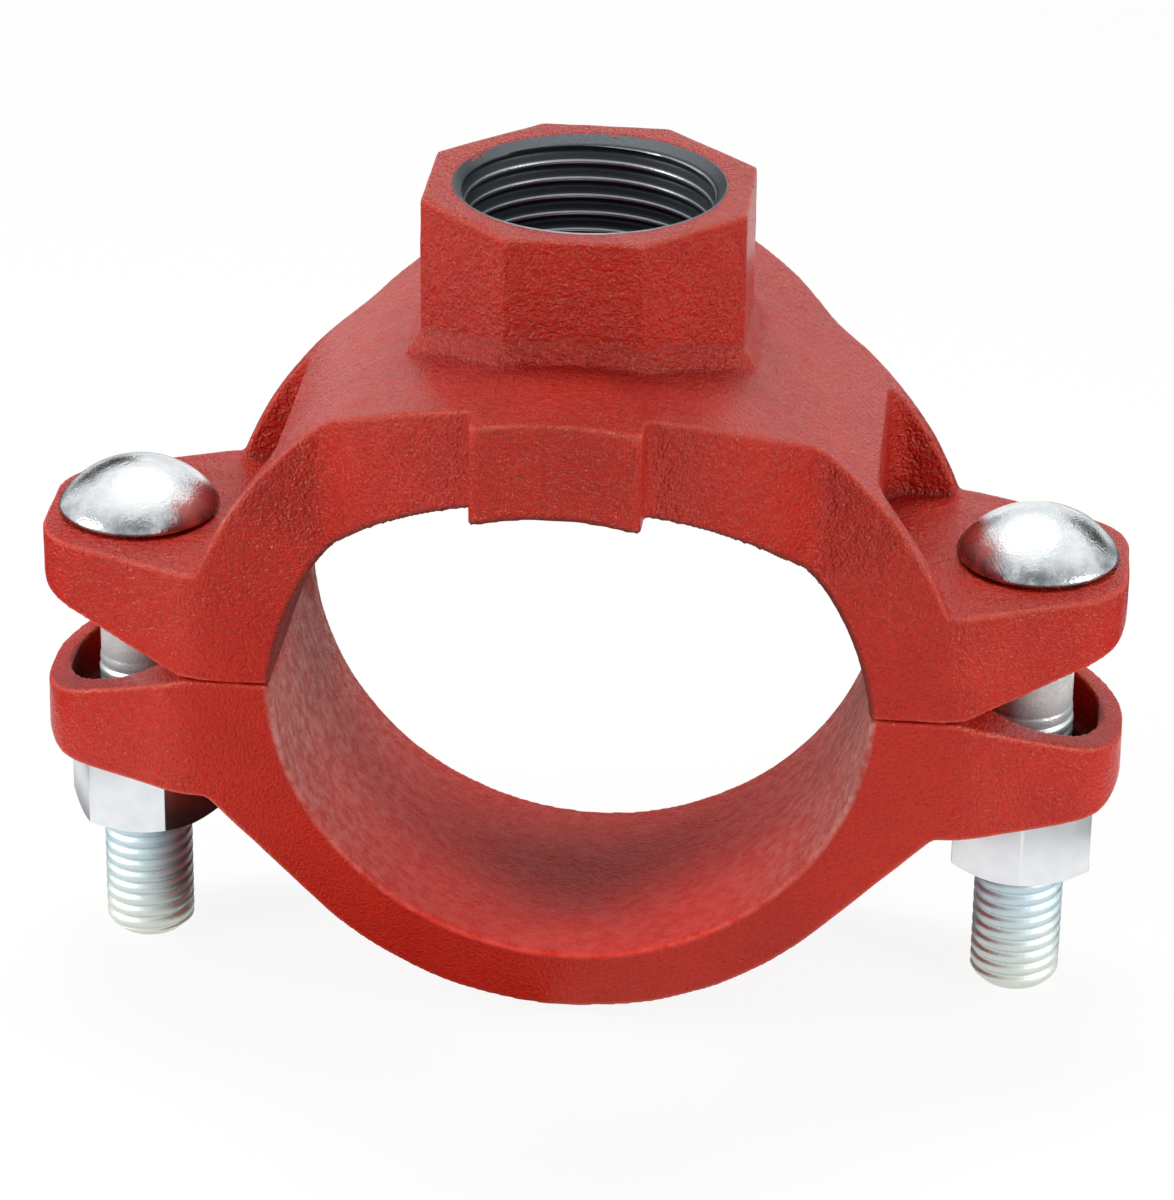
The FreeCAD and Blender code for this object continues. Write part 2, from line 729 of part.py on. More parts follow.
def hex_nut(label, x, turn):
    """A heavy hexagon nut, chamfered below, drawn with its raised round seat on top at zero."""
    body = new_body(label, x, nut_seat, turn)
    half = S.nut_flats / 2
    hexagon = plan(body, "NutPlan", -S.nut_washer)
    outline(hexagon, [(nut_corner, 0), (nut_corner / 2, half), (-nut_corner / 2, half),
                      (-nut_corner, 0), (-nut_corner / 2, -half), (nut_corner / 2, -half)])
    pad(body, "Hexagon", hexagon, S.nut_height - S.nut_washer, reverse=True)
    washer = plan(body, "WasherFacePlan", -S.nut_washer)
    circle(washer, S.nut_face_radius)
    pad(body, "WasherFace", washer, S.nut_washer)

    bore_radius = S.bolt_radius + S.nut_clearance
    bore = plan(body, "NutBorePlan")
    circle(bore, bore_radius)
    cut_through(body, "NutBore", bore)

    # The corners are chamfered by a thin triangle swept round the bolt's axis.
    reach = nut_corner + CLEAR
    foot = -S.nut_height
    corners = profile(body, "NutChamferProfile")
    outline(corners, [(S.nut_face_radius, foot),
                      (reach, foot + (reach - S.nut_face_radius) * tangent(S.nut_chamfer)),
                      (reach, foot - CLEAR)])
    cut_round(body, "NutChamfer", corners)
    return body


outlet_housing()
gasket()
strap_housing()
track_bolt("left_bolt", -bolt_x)
track_bolt("right_bolt", bolt_x)
hex_nut("left_nut", -bolt_x, S.left_nut_turn)
hex_nut("right_nut", bolt_x, S.right_nut_turn)


# ---------------------------------------------------------------- checks and export

NODES = ("outlet_housing", "gasket", "strap_housing", "left_bolt", "right_bolt", "left_nut", "right_nut")

doc.recompute()
for item in doc.Objects:
    if "Invalid" in item.State or "Error" in item.State:
        raise RuntimeError(f"{item.Name} failed: {item.State}")

os.makedirs("parts", exist_ok=True)
for node in NODES:
    shape = doc.getObjectsByLabel(node)[0].Shape
    if shape.isNull() or not shape.isValid() or len(shape.Solids) != 1:
        raise RuntimeError(f"{node} isn't one valid solid")
    shape.exportStep(f"parts/{node}.step")
    print(f"{node}: {shape.Volume / 1000:.2f} cm3, {len(shape.Faces)} faces")
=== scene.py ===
# %% [markdown]
# # Dressing a threaded mechanical tee
#
# A mechanical tee adds a branch to a pipe without welding. Two red cast-iron halves are bolted
# round the pipe, and the upper half carries an octagonal boss with a female thread for the branch.
# The CAD model already gives every size and every moving body. This lesson keeps those sizes and
# adds what CAD leaves out: soft cast edges, grainy paint, real screw threads, bright zinc and the
# studio round them.

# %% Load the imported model
import math

import bmesh
import bpy
from mathutils import Matrix, Vector


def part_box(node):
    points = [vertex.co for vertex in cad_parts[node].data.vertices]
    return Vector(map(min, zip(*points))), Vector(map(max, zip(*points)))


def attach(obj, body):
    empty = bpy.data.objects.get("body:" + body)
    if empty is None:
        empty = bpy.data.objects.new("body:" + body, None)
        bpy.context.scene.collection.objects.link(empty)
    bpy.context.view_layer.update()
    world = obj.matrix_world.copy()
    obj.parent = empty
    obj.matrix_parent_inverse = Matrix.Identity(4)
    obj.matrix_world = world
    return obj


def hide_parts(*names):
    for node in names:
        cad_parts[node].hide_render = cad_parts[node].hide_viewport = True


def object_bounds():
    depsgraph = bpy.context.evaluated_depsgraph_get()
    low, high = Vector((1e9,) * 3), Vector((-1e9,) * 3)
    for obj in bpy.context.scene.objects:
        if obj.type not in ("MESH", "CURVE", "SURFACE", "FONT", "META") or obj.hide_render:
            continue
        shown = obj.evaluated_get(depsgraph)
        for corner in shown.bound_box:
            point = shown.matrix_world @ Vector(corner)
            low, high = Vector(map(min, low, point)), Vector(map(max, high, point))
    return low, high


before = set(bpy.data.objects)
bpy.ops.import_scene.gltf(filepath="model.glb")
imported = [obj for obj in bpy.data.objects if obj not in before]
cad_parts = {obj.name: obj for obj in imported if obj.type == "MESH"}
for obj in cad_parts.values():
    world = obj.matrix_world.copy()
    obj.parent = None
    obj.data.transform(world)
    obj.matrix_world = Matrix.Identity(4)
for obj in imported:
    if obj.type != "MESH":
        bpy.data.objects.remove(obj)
cad_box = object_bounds()
MM = 0.001
print("CAD box in mm:", [[round(value / MM, 2) for value in corner] for corner in cad_box])

# %% [markdown]
# ## The camera
#
# The camera comes first, because everything after it is judged through it. It looks down at the
# tee from the front, a little to the right of the pipe's axis, through a long lens that keeps the
# two ears nearly the same size. A direction, a distance and a small tilt describe it better than
# a table of rotation numbers, so it is placed from those.

# %% Place the camera
view_turn = math.radians(5.42)
view_lift = math.radians(26.08)
view_tilt = math.radians(0.85)
view_distance = 649.32 * MM
view_target = Vector((0.23, 1.34, 7.67)) * MM

towards_camera = Vector((math.sin(view_turn) * math.cos(view_lift),
                         -math.cos(view_turn) * math.cos(view_lift),
                         math.sin(view_lift)))
camera = bpy.data.objects.new("camera", bpy.data.cameras.new("camera"))
camera.data.lens = 149.49
camera.data.sensor_width = 36
camera.data.clip_start = 0.05
camera.location = view_target + towards_camera * view_distance
aim = (-towards_camera).to_track_quat("-Z", "Y").to_matrix()
camera.rotation_euler = (aim @ Matrix.Rotation(view_tilt, 3, "Z")).to_euler()
bpy.context.scene.collection.objects.link(camera)
bpy.context.scene.camera = camera
print("camera at", [round(value, 4) for value in camera.location])

# %% [markdown]
# ## Finishing a mesh
#
# Most pieces here are built in a bmesh and then end the same way: stray double vertices are
# merged, normals are turned outwards, and the shading is smooth except over crisp corners.
# Marking those edges sharp keeps a turned face flat without adding any geometry.

# %% Turn a bmesh into a finished piece
def finished_piece(bm, name, crisp_angle=35):
    bmesh.ops.remove_doubles(bm, verts=bm.verts, dist=0.001 * MM)
    bmesh.ops.recalc_face_normals(bm, faces=bm.faces)
    for face in bm.faces:
        face.smooth = True
    for edge in bm.edges:
        if len(edge.link_faces) == 2:
            edge.smooth = edge.calc_face_angle() < math.radians(crisp_angle)
    mesh = bpy.data.meshes.new(name)
    bm.to_mesh(mesh)
    bm.free()
    piece = bpy.data.objects.new(name, mesh)
    bpy.context.scene.collection.objects.link(piece)
    return piece


def triangles(piece):
    piece.data.calc_loop_triangles()
    return len(piece.data.loop_triangles)

# %% [markdown]
# ## The castings
#
# Molten iron rounds every corner of its sand mould, so no edge of these halves is crisp. Bevels
# could round them one by one, but the saddle's edges cross at many odd angles. Instead a merged
# copy of each CAD casting is rebuilt from small even squares (a voxel remesh) and relaxed a few
# times. That rounds edges and fills inner corners everywhere, as sand does, and flat faces stay
# where they are. A faint slow wave then takes away the machine-made flatness, and a decimation
# spends the triangles where the surface bends.

# %% Round the castings
wave_length = 7 * MM
wave_height = 0.22 * MM
relax_passes = 5


def bake_modifiers(piece):
    made = piece.evaluated_get(bpy.context.evaluated_depsgraph_get())
    piece.data = bpy.data.meshes.new_from_object(made)
    piece.modifiers.clear()


def soft_copy(node, name, voxel, most_triangles, waviness=0.0):
    """A rounded copy of a CAD node, rebuilt from squares of this size."""
    bm = bmesh.new()
    bm.from_mesh(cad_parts[node].data)
    bmesh.ops.remove_doubles(bm, verts=bm.verts, dist=0.001 * MM)
    raw = bpy.data.meshes.new(name + "_raw")
    bm.to_mesh(raw)
    bm.free()
    piece = bpy.data.objects.new(name, raw)
    bpy.context.scene.collection.objects.link(piece)

    remesh = piece.modifiers.new("even squares", "REMESH")
    remesh.mode = "VOXEL"
    remesh.voxel_size = voxel
    remesh.use_smooth_shade = True
    relax = piece.modifiers.new("relax", "SMOOTH")
    relax.factor = 0.5
    relax.iterations = relax_passes
    if waviness:
        wave = piece.modifiers.new("wave", "DISPLACE")
        wave.texture = bpy.data.textures.new(name + "_wave", "CLOUDS")
        wave.texture.noise_scale = wave_length
        wave.strength = waviness
        wave.mid_level = 0.5
    bake_modifiers(piece)

    thin = piece.modifiers.new("thin flats", "DECIMATE")
    thin.ratio = min(1, most_triangles / triangles(piece))
    bake_modifiers(piece)
    return piece


def bend_at(vert):
    """Curvature in 1/mm, above 0 on an outside edge and below 0 in a corner."""
    bend = 0
    for edge in vert.link_edges:
        step = edge.other_vert(vert).co - vert.co
        bend -= 2 * step.dot(vert.normal) / step.length_squared
    return bend * MM / len(vert.link_edges)


def mark_bends(piece):
    """Keeps each point's curvature, evened out over its neighbours, as an attribute."""
    bm = bmesh.new()
    bm.from_mesh(piece.data)
    bends = [bend_at(vert) for vert in bm.verts]
    for _ in range(2):
        bends = [(bends[vert.index]
                  + sum(bends[edge.other_vert(vert).index] for edge in vert.link_edges))
                 / (1 + len(vert.link_edges)) for vert in bm.verts]
    bm.free()
    marks = piece.data.attributes.new("bend", "FLOAT", "POINT")
    marks.data.foreach_set("value", bends)


outlet_casting = soft_copy("outlet_housing", "outlet_casting", 0.36 * MM, 185000, wave_height)
strap_casting = soft_copy("strap_housing", "strap_casting", 0.34 * MM, 150000, wave_height)
for casting, node, body in ((outlet_casting, "outlet_housing", "outlet"),
                            (strap_casting, "strap_housing", "strap")):
    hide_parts(node)
    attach(casting, body)
    mark_bends(casting)
    print(casting.name, triangles(casting), "triangles")

# %% [markdown]
# ## The rubber ring
#
# The ring between the saddle and the pipe is moulded, so its lips are rounded too. It is small
# and half hidden, and the same remesh does it well with finer squares.

# %% Round the sealing ring
sealing_ring = soft_copy("gasket", "sealing_ring", 0.35 * MM, 60000)
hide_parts("gasket")
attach(sealing_ring, "outlet")
print(sealing_ring.name, triangles(sealing_ring), "triangles")

# %% [markdown]
# ## Screw threads
#
# A thread is one tooth wound up a helix. A normal map could hint at it, but the branch's thread is
# in plain sight and its teeth show in outline. So one pitch of the tooth is drawn and spun round
# the axis while it climbs. Each turn ends where the next one starts, and merging them leaves one
# continuous surface, which two flat cuts then trim to length.

# %% Wind a thread
def wound_thread(root, crest, pitch, land, bottom, top, steps=72):
    """An open tube round Z with a thread of this pitch, trimmed to run from bottom to top.

    The land is the share of a pitch that the flat of the crest takes.
    """
    turns = math.ceil((top - bottom) / pitch) + 2
    rise = 0.44 - land / 2
    climb = [(0, 0), (0, 0.06), (0.08, 0.06 + rise * 0.15), (0.5, 0.06 + rise * 0.5),
             (0.92, 0.06 + rise * 0.85), (1, 0.06 + rise)]
    descent = [(share, 1 - height) for share, height in reversed(climb)]
    tooth = [(root + (crest - root) * share, height) for share, height in climb + descent]
    bm = bmesh.new()
    verts = [bm.verts.new((radius, 0, bottom + (height - 1) * pitch)) for radius, height in tooth]
    edges = [bm.edges.new(pair) for pair in zip(verts, verts[1:])]
    bmesh.ops.spin(bm, geom=verts + edges, cent=(0, 0, 0), axis=(0, 0, 1),
                   dvec=(0, 0, pitch / steps), angle=math.tau * turns, steps=steps * turns)
    bmesh.ops.remove_doubles(bm, verts=bm.verts, dist=0.001 * MM)
    for level, trim in ((bottom, {"clear_inner": True}), (top, {"clear_outer": True})):
        bmesh.ops.bisect_plane(bm, geom=[*bm.verts, *bm.edges, *bm.faces], dist=0.0005 * MM,
                               plane_co=(0, 0, level), plane_no=(0, 0, 1), **trim)
    return bm


def reshape_radius(bm, rule):
    """Moves each vertex in or out to the radius that rule(radius, height) gives."""
    for vert in bm.verts:
        radius = vert.co.xy.length
        vert.co.xy *= rule(radius, vert.co.z) / radius


def rim_edges(bm, level):
    return [edge for edge in bm.edges
            if edge.is_boundary and all(abs(vert.co.z - level) < 0.01 * MM for vert in edge.verts)]

# %% [markdown]
# ## The branch's thread
#
# The boss is tapped for a 1 inch pipe: 11 threads to the inch, cut into bare iron and left
# unpainted, with a 45 degree lead-in at the mouth. A pipe thread tapers, so its teeth are lower
# at the mouth than deep inside. The tap only reaches part of the depth, so the last turn fades
# out. The thread is a liner that sits just inside the painted bore.

# %% Line the outlet
boss_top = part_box("outlet_housing")[1].z
pipe_pitch = 25.4 / 11 * MM
tapped_root = 16.5 * MM
tapped_crest = 15.15 * MM
mouth_radius = 17.05 * MM
liner_outside = 17.3 * MM
liner_bottom = boss_top - 18.9 * MM
rim_chamfer = 0.08 * MM
mouth_tooth = 0.55            # share of the tooth's full height that it has at the mouth
full_tooth_depth = 14 * MM


def tapped_radius(radius, height):
    depth = boss_top - height
    fade = min(1, max(0, (height - liner_bottom) / pipe_pitch))
    faded = tapped_crest + (radius - tapped_crest) * fade
    tooth = mouth_tooth + (1 - mouth_tooth) * min(1, depth / full_tooth_depth)
    return max(tapped_root + (faded - tapped_root) * tooth, mouth_radius - depth)


bm = wound_thread(tapped_root, tapped_crest, pipe_pitch, 0.08, liner_bottom, boss_top, steps=120)
reshape_radius(bm, tapped_radius)
walls = []
for level, drop in ((boss_top, rim_chamfer), (liner_bottom, 0)):
    made = bmesh.ops.extrude_edge_only(bm, edges=rim_edges(bm, level))["geom"]
    for vert in [item for item in made if isinstance(item, bmesh.types.BMVert)]:
        vert.co.xy *= liner_outside / vert.co.xy.length
        vert.co.z -= drop
    walls += [item for item in made if isinstance(item, bmesh.types.BMEdge) and item.is_boundary]
bmesh.ops.bridge_loops(bm, edges=walls)
tapped_liner = finished_piece(bm, "tapped_liner", crisp_angle=40)
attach(tapped_liner, "outlet")
print("outlet thread:", triangles(tapped_liner), "triangles")

# %% [markdown]
# ## The track bolts
#
# A track bolt has a low dome to keep pipe insulation smooth and an oval neck that locks it in the
# slotted hole, so that one spanner on the nut is enough. Head, neck and threaded shank are three
# closed shells of one piece: the head is a profile spun round the axis, the neck an extruded
# oval, and the shank the wound thread again.

# %% Turn a domed head
def add_dome_head(bm, radius, rim, crown):
    dome = crown - rim
    sphere = (radius ** 2 + dome ** 2) / (2 * dome)
    first = bm.verts.new((0, 0, crown))
    chain = bmesh.ops.spin(bm, geom=[first], cent=(0, 0, crown - sphere), axis=(0, 1, 0),
                           angle=math.asin((radius - 0.3 * MM) / sphere), steps=20)
    last = chain["geom_last"][0]
    for out, up in ((radius - 0.06 * MM, rim - 0.02 * MM), (radius, rim - 0.25 * MM),
                    (radius - 0.06 * MM, rim - 0.5 * MM), (radius - 0.3 * MM, 0.2 * MM),
                    (radius - 0.8 * MM, 0), (0, 0)):
        corner = bm.verts.new((out, 0, up))
        bm.edges.new((last, corner))
        last = corner
    bmesh.ops.spin(bm, geom=[*bm.verts, *bm.edges], cent=(0, 0, 0), axis=(0, 0, 1),
                   angle=math.tau, steps=96, use_merge=True)

# %% [markdown]
# The neck under the head is a circle that is pulled apart into an oval and extruded downwards.
# Its flat sides are what the slotted hole holds.

# %% Form the oval neck
def add_oval_neck(bm, width, length, depth):
    circle = bmesh.ops.create_circle(bm, cap_ends=True, segments=96, radius=width / 2)["verts"]
    for vert in circle:
        vert.co.x += math.copysign((length - width) / 2, vert.co.x)
    face = circle[0].link_faces[0]
    made = bmesh.ops.extrude_face_region(bm, geom=[face], use_keep_orig=True)["geom"]
    foot = [item for item in made if isinstance(item, bmesh.types.BMVert)]
    bmesh.ops.translate(bm, verts=foot, vec=(0, 0, -depth))

# %% [markdown]
# A bolt's thread is rolled, so its crests stand a little proud of the plain shank. The thread
# fades out where it ends, and a chamfer at the tip helps the nut to start.

# %% Roll the shank's thread
bolt_pitch = 1.75 * MM
thread_root = 5.5 * MM
crest_land = 0.38
shank_radius = 5.6 * MM
tip_chamfer = 1.3 * MM


def threaded_shank(crest, bottom, thread_top, neck_foot):
    """A closed shank: thread from bottom to thread_top, then plain up into the neck."""
    def rolled_radius(radius, height):
        fade = min(1, max(0, (thread_top - height) / (1.5 * bolt_pitch)))
        tip = crest - tip_chamfer + (height - bottom)
        return min(shank_radius + (radius - shank_radius) * fade, tip)

    bm = wound_thread(thread_root, crest, bolt_pitch, crest_land, bottom, thread_top)
    reshape_radius(bm, rolled_radius)
    made = bmesh.ops.extrude_edge_only(bm, edges=rim_edges(bm, thread_top))["geom"]
    for vert in [item for item in made if isinstance(item, bmesh.types.BMVert)]:
        vert.co.z = neck_foot
    for level in (bottom, neck_foot):
        bmesh.ops.edgenet_fill(bm, edges=rim_edges(bm, level))
    return bm

# %% [markdown]
# The bolts' places come from the CAD boxes. Both are built on the Z axis and then moved, so one
# set of steps makes the two, and only the thread's start is turned a little on the second.

# %% Build both bolts
bolt_low, bolt_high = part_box("right_bolt")
bolt_axis = (bolt_low.x + bolt_high.x) / 2
head_radius = (bolt_high.x - bolt_low.x) / 2
head_rim = 1 * MM
seat = bolt_high.z - 6.6 * MM
neck_width = 12.6 * MM
neck_length = 16.6 * MM
neck_depth = 5 * MM
neck_overlap = 1 * MM
thread_crest = 5.85 * MM
thread_length = 41.5 * MM


def track_bolt(side, turn):
    axis_x = bolt_axis if side == "right" else -bolt_axis
    head = bmesh.new()
    add_dome_head(head, head_radius, head_rim, bolt_high.z - seat)
    add_oval_neck(head, neck_width, neck_length, neck_depth)
    bmesh.ops.translate(head, verts=head.verts, vec=(0, 0, seat))
    shank = threaded_shank(thread_crest, bolt_low.z, bolt_low.z + thread_length,
                           seat - neck_depth + neck_overlap)
    bmesh.ops.rotate(shank, verts=shank.verts, cent=(0, 0, 0), matrix=Matrix.Rotation(turn, 3, "Z"))
    part = bpy.data.meshes.new("shank")
    shank.to_mesh(part)
    shank.free()
    head.from_mesh(part)
    bpy.data.meshes.remove(part)
    bmesh.ops.translate(head, verts=head.verts, vec=(axis_x, 0, 0))
    bolt = finished_piece(head, f"{side}_track_bolt")
    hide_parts(f"{side}_bolt")
    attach(bolt, "outlet")
    print(bolt.name, triangles(bolt), "triangles")
    return bolt


bolts = [track_bolt("left", 0.0), track_bolt("right", 2.1)]

# %% [markdown]
# ## The nuts
#
# A hexagon nut's corners are chamfered by a cone, which leaves a shallow arch on every flat. The
# arch is simply where a prism meets a cone, so the nut is an intersection: a six-sided prism and
# a turned ring that has the chamfers, the hole and the raised washer face. A tiny bevel then
# catches light along its edges.

# %% Make the nuts
nut_turns = {"left": math.radians(53), "right": math.radians(30)}
half_flats = 9 * MM
hexagon_half_angle = math.radians(30)
nut_chamfer = math.radians(30)
nut_face = 8.5 * MM
nut_hole = 5.95 * MM
hole_chamfer = 0.7 * MM
washer_height = 0.6 * MM
washer_step = 0.4 * MM


def turned_ring(height, reach):
    """The ring that trims a nut: its hole, its chamfered foot and the washer face on top."""
    fall = (reach - nut_face) * math.tan(nut_chamfer)
    outline = ((nut_hole, -height + hole_chamfer), (nut_hole + hole_chamfer, -height),
               (nut_face, -height), (reach, -height + fall),
               (reach, -washer_height - fall * 0.5), (nut_face + washer_step, -washer_height),
               (nut_face, -washer_height), (nut_face, 0), (nut_hole, 0))
    bm = bmesh.new()
    verts = [bm.verts.new((radius, 0, level)) for radius, level in outline]
    edges = [bm.edges.new((vert, verts[number - 1])) for number, vert in enumerate(verts)]
    bmesh.ops.spin(bm, geom=verts + edges, cent=(0, 0, 0), axis=(0, 0, 1),
                   angle=math.tau, steps=96, use_merge=True)
    return bm


def hex_nut(side):
    low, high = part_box(f"{side}_nut")
    axis_x = sum(corner.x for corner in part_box(f"{side}_bolt")) / 2
    height = high.z - low.z
    corner = half_flats / math.cos(hexagon_half_angle)
    prism = bmesh.new()
    bmesh.ops.create_cone(prism, cap_ends=True, segments=6, radius1=corner, radius2=corner,
                          depth=height * 2)
    bmesh.ops.rotate(prism, verts=prism.verts, cent=(0, 0, 0),
                     matrix=Matrix.Rotation(nut_turns[side] - hexagon_half_angle, 3, "Z"))
    ring = turned_ring(height, corner + 1 * MM)
    for bm in (prism, ring):
        bmesh.ops.translate(bm, verts=bm.verts, vec=(axis_x, 0, high.z))
    nut = finished_piece(prism, f"{side}_hex_nut")
    cutter = finished_piece(ring, f"{side}_cutter")
    meet = nut.modifiers.new("meet", "BOOLEAN")
    meet.operation = "INTERSECT"
    meet.object = cutter
    soft = nut.modifiers.new("soft edges", "BEVEL")
    soft.width = 0.18 * MM
    soft.segments = 2
    soft.limit_method = "ANGLE"
    soft.angle_limit = math.radians(25)
    bake_modifiers(nut)
    bpy.data.objects.remove(cutter)
    bm = bmesh.new()
    bm.from_mesh(nut.data)
    for face in bm.faces:
        face.smooth = True
    for edge in bm.edges:
        edge.smooth = len(edge.link_faces) == 2 and edge.calc_face_angle() < math.radians(40)
    bm.to_mesh(nut.data)
    bm.free()
    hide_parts(f"{side}_nut")
    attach(nut, f"{side}_nut")
    print(nut.name, triangles(nut), "triangles")
    return nut


nuts = [hex_nut("left"), hex_nut("right")]

# %% [markdown]
# ## Sums in a shader
#
# A finish is a small recipe of nodes: noise, ramps and sums. Linking each Math node by hand hides
# the recipe, so a thin class wraps an output socket. Python's own operators then add the Math
# nodes, and one method adds every other kind of node.

# %% Wrap a socket
class Wire:
    """An output socket of a material, on which + - and * add Math nodes."""

    def __init__(self, tree, socket):
        self.tree = tree
        self.socket = socket

    def node(self, kind, settings=None, inputs=None, output=0):
        """Adds a node of this kind, with its settings first and then its inputs."""
        fresh = self.tree.nodes.new(kind)
        for name, setting in (settings or {}).items():
            setattr(fresh, name, setting)
        for key, value in (inputs or {}).items():
            if isinstance(value, Wire):
                self.tree.links.new(value.socket, fresh.inputs[key])
            else:
                fresh.inputs[key].default_value = value
        return Wire(self.tree, fresh.outputs[output])

    def maths(self, operation, first, second):
        return self.node("ShaderNodeMath", {"operation": operation}, {0: first, 1: second})

    def __add__(self, other):
        return self.maths("ADD", self, other)

    __radd__ = __add__

    def __sub__(self, other):
        return self.maths("SUBTRACT", self, other)

    def __rsub__(self, other):
        return self.maths("SUBTRACT", other, self)

    def __mul__(self, other):
        return self.maths("MULTIPLY", self, other)

    __rmul__ = __mul__

    def noise(self, size, detail=2.0, roughness=0.5):
        """Noise whose blotches are about this size across, from 0 to 1."""
        return self.node("ShaderNodeTexNoise", None,
                         {"Vector": self, "Scale": 1 / size, "Detail": detail,
                          "Roughness": roughness})

    def ramp(self, low, high):
        """0 below low, 1 above high, and even in between."""
        return self.node("ShaderNodeMapRange", {"clamp": True},
                         {"Value": self, "From Min": low, "From Max": high})

    def mix(self, first, second):
        """first where this mask is 0 and second where it is 1."""
        return self.node("ShaderNodeMix", {"data_type": "RGBA"},
                         {0: self, 6: first, 7: second}, output=2)

    def bump(self, depth):
        """A normal from this height, where 1 stands depth above 0."""
        return self.node("ShaderNodeBump", None,
                         {"Height": self, "Distance": depth, "Strength": 1.0})

    def axes(self):
        """The x, y and z of this vector."""
        return [self.node("ShaderNodeSeparateXYZ", None, {0: self}, output=axis) for axis in "XYZ"]


def start_finish(name):
    """A new material's tree, its main shader and its Object coordinates."""
    material = bpy.data.materials.new(name)
    material.use_nodes = True
    tree = material.node_tree
    shader = tree.nodes["Principled BSDF"]
    place = Wire(tree, tree.nodes.new("ShaderNodeTexCoord").outputs["Object"])
    return material, shader, place


def set_shader(shader, values):
    for key, value in values.items():
        if isinstance(value, Wire):
            value.tree.links.new(value.socket, shader.inputs[key])
        else:
            shader.inputs[key].default_value = value


def dress(piece, material):
    piece.data.materials.clear()
    piece.data.materials.append(material)

# %% [markdown]
# ## Red paint over sand-cast iron
#
# The mould's sand leaves a pebbled skin, and gloss paint flows over it: it pools in the hollows
# of the grain, where it is deeper red, and thins on the grains, which look lighter. Inside corners
# are painted darker, partly paint that pools there and partly painted shade, and outside edges are
# painted lighter as a painted highlight. So one height drives both the bumps and the colour, and
# the curvature kept on each casting tells edges from corners. The boss and the band are coarser
# than the lower parts.
#
# The bore has its own look, and a distance from its axis says where it is. Each half has an
# axis of its own, because they are drawn together closer than a pipe would let them. The strap's
# bore is blotchy and duller, paler up its sides, partly dust and partly a painted sheen, and
# painted a brighter red at the bottom, a painted light where the saddle's shade falls. The bore
# of the upper half and the strap's two bolt pockets are painted dark as painted shade, and a
# distance from each bolt's axis finds the pockets.

# %% Mix the red paint
strap_low, strap_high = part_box("strap_housing")
parting = strap_high.z
strap_radius = 46.3 * MM  # outside of the hoop
strap_centre = strap_low.z + strap_radius
bore_radius = 38.4 * MM
pocket_radius = 9.7 * MM
pocket_floor = -12 * MM


def red_paint():
    material, shader, place = start_finish("red_cast_paint")
    x, y, z = place.axes()
    bend = place.node("ShaderNodeAttribute", {"attribute_name": "bend"}, output="Fac")
    # edge finds the outside edges for a painted highlight; corner finds the inside corners for
    # painted shade and pooled paint
    edge = bend.ramp(0.28, 0.75)
    corner = bend.ramp(-0.10, -0.45)

    upper_half = z.ramp(parting, parting + 0.3 * MM)
    level = z - strap_centre + upper_half * strap_centre
    from_centre = level.maths("SQRT", x * x + level * level, 0)
    bore = from_centre.ramp(bore_radius + 0.9 * MM, bore_radius + 0.4 * MM)
    beside = x.maths("ABSOLUTE", x, 0) - bolt_axis
    from_bolt = beside.maths("SQRT", beside * beside + y * y, 0)
    pocket = (from_bolt.ramp(pocket_radius + 0.5 * MM, pocket_radius - 0.5 * MM)
              * z.ramp(1 * MM, -3 * MM)
              * z.ramp(pocket_floor - 0.5 * MM, pocket_floor + 0.5 * MM))
    # the bolt pockets and the upper half's bore are painted near black as painted shade
    painted_recess_shade = pocket.maths("MAXIMUM", pocket, bore * upper_half * 0.85)
    strap_bore = bore * (1 - upper_half)

    grain = place.noise(0.42 * MM, detail=2.0, roughness=0.6)
    pebble = place.noise(1.2 * MM, detail=2.0)
    drift = place.noise(11 * MM, detail=3.0)
    blotch = place.noise(1.7 * MM, detail=4.0, roughness=0.65)
    coarse = z.ramp(5 * MM, 25 * MM)
    hollow = grain.ramp(0.50, 0.30)
    skin = grain * (0.42 + coarse * 0.45) + pebble * (0.12 + coarse * 0.7 + strap_bore * 0.35)

    coat = drift.ramp(0.35, 0.65).mix((0.41, 0.009, 0.003, 1), (0.47, 0.013, 0.004, 1))
    coat = (hollow * 0.8).mix(coat, (0.25, 0.003, 0.002, 1))
    # painted shade in the inside corners, together with the paint that pools there
    coat = (corner * 0.6).mix(coat, (0.22, 0.002, 0.002, 1))
    # painted highlight along the outside edges
    coat = (edge * 0.22).mix(coat, (0.80, 0.16, 0.10, 1))
    # pale bore sides: partly dust and partly a painted sheen
    dust_and_painted_sheen = blotch.ramp(0.40, 0.62).mix((0.34, 0.060, 0.052, 1), (0.50, 0.240, 0.215, 1))
    painted_bright_bottom = blotch.ramp(0.40, 0.62).mix((0.70, 0.012, 0.006, 1), (0.80, 0.060, 0.045, 1))
    # the bore's bottom is painted brighter red, a painted light where the saddle's shade falls
    bore_dust_and_painted_light = z.ramp(-8 * MM, -30 * MM).mix(dust_and_painted_sheen, painted_bright_bottom)
    coat = (strap_bore * 0.75).mix(coat, bore_dust_and_painted_light)
    set_shader(shader, {
        "Base Color": (painted_recess_shade * 0.85).mix(coat, (0.05, 0.002, 0.002, 1)),
        "Roughness": 0.22 - coarse * 0.04 + hollow * 0.14 + strap_bore * 0.22 + painted_recess_shade * 0.3,
        "Normal": skin.bump(0.60 * MM),
        "Specular IOR Level": 0.38,
        "Specular Tint": (1.0, 0.90, 0.76, 1),
    })
    return material


paint = red_paint()
for casting in (outlet_casting, strap_casting):
    dress(casting, paint)
